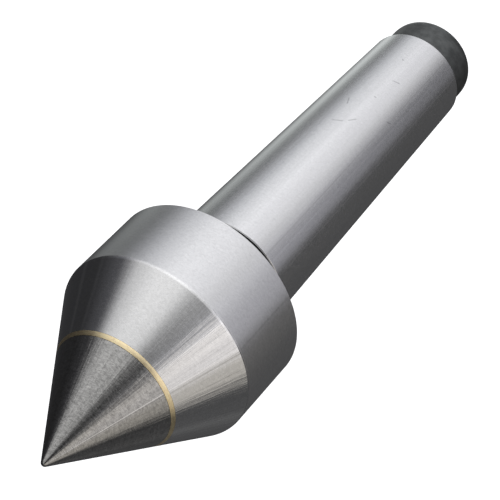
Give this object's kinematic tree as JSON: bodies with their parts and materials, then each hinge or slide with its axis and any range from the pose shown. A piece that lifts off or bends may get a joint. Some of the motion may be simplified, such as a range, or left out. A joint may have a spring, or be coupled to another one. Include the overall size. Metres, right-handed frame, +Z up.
{
  "type": "live center",
  "caption": "Revolving lathe centre: a 60 degree pointed head with a brazed hard tip turns on bearings about the nose of a Morse 4 taper shank.",
  "frame": {"origin": "centre of the taper's gauge plane, the front edge of the shank", "axes": "Y along the spin axis, -Y towards the workpiece, +Y into the tailstock; +Z up"},
  "size_m": [0.05, 0.1788, 0.05],
  "materials": {
    "ground_steel": "fine cylindrical grinding, satin",
    "carbide": "ground hard metal, a little darker and warmer than the steel",
    "braze": "ground flush braze metal",
    "blacked_steel": "black oxide, matt",
    "bearing_steel": "lapped bearing steel",
    "pressed_steel": "pressed sheet steel",
    "cage_brass": "machined brass",
    "nitrile": "moulded black nitrile"
  },
  "bodies": {
    "arbor": {"shank_arbor": "ground_steel", "radial_inner_race": "bearing_steel", "snap_ring": "blacked_steel", "thrust_arbor_washer": "bearing_steel"},
    "head": {"head_shell": "ground_steel", "tip_insert": "carbide", "braze_ring": "braze", "ring_nut": "blacked_steel", "shaft_seal": "nitrile", "radial_outer_race": "bearing_steel", "radial_front_shield": "pressed_steel", "radial_rear_shield": "pressed_steel", "thrust_head_washer": "bearing_steel", "needle_cup": "pressed_steel"},
    "radial_train": {"radial_cage": "pressed_steel", "radial_ball_1": "bearing_steel", "radial_ball_2": "bearing_steel", "radial_ball_3": "bearing_steel", "radial_ball_4": "bearing_steel", "radial_ball_5": "bearing_steel", "radial_ball_6": "bearing_steel", "radial_ball_7": "bearing_steel", "radial_ball_8": "bearing_steel", "radial_ball_9": "bearing_steel", "radial_ball_10": "bearing_steel", "radial_ball_11": "bearing_steel", "radial_ball_12": "bearing_steel", "radial_ball_13": "bearing_steel", "radial_ball_14": "bearing_steel", "radial_ball_15": "bearing_steel"},
    "thrust_train": {"thrust_cage": "cage_brass", "thrust_ball_1": "bearing_steel", "thrust_ball_2": "bearing_steel", "thrust_ball_3": "bearing_steel", "thrust_ball_4": "bearing_steel", "thrust_ball_5": "bearing_steel", "thrust_ball_6": "bearing_steel", "thrust_ball_7": "bearing_steel", "thrust_ball_8": "bearing_steel", "thrust_ball_9": "bearing_steel", "thrust_ball_10": "bearing_steel", "thrust_ball_11": "bearing_steel", "thrust_ball_12": "bearing_steel"},
    "needle_train": {"needle_cage": "pressed_steel", "needle_roller_1": "bearing_steel", "needle_roller_2": "bearing_steel", "needle_roller_3": "bearing_steel", "needle_roller_4": "bearing_steel", "needle_roller_5": "bearing_steel", "needle_roller_6": "bearing_steel", "needle_roller_7": "bearing_steel", "needle_roller_8": "bearing_steel", "needle_roller_9": "bearing_steel", "needle_roller_10": "bearing_steel", "needle_roller_11": "bearing_steel", "needle_roller_12": "bearing_steel", "needle_roller_13": "bearing_steel", "needle_roller_14": "bearing_steel"}
  },
  "joints": [
    {"name": "head_spin", "type": "hinge", "parent": "arbor", "child": "head", "pos_m": [0, -0.03, 0], "axis": [0, 1, 0], "continuous": true},
    {"name": "radial_cage_spin", "type": "hinge", "parent": "arbor", "child": "radial_train", "pos_m": [0, -0.0174, 0], "axis": [0, 1, 0], "continuous": true},
    {"name": "thrust_cage_spin", "type": "hinge", "parent": "arbor", "child": "thrust_train", "pos_m": [0, -0.0276, 0], "axis": [0, 1, 0], "continuous": true},
    {"name": "needle_cage_spin", "type": "hinge", "parent": "arbor", "child": "needle_train", "pos_m": [0, -0.0366, 0], "axis": [0, 1, 0], "continuous": true}
  ],
  "couplings": [
    {"joint": "radial_cage_spin", "follows": "head_spin", "ratio": 0.5565},
    {"joint": "thrust_cage_spin", "follows": "head_spin", "ratio": 0.5},
    {"joint": "needle_cage_spin", "follows": "head_spin", "ratio": 0.5532}
  ]
}
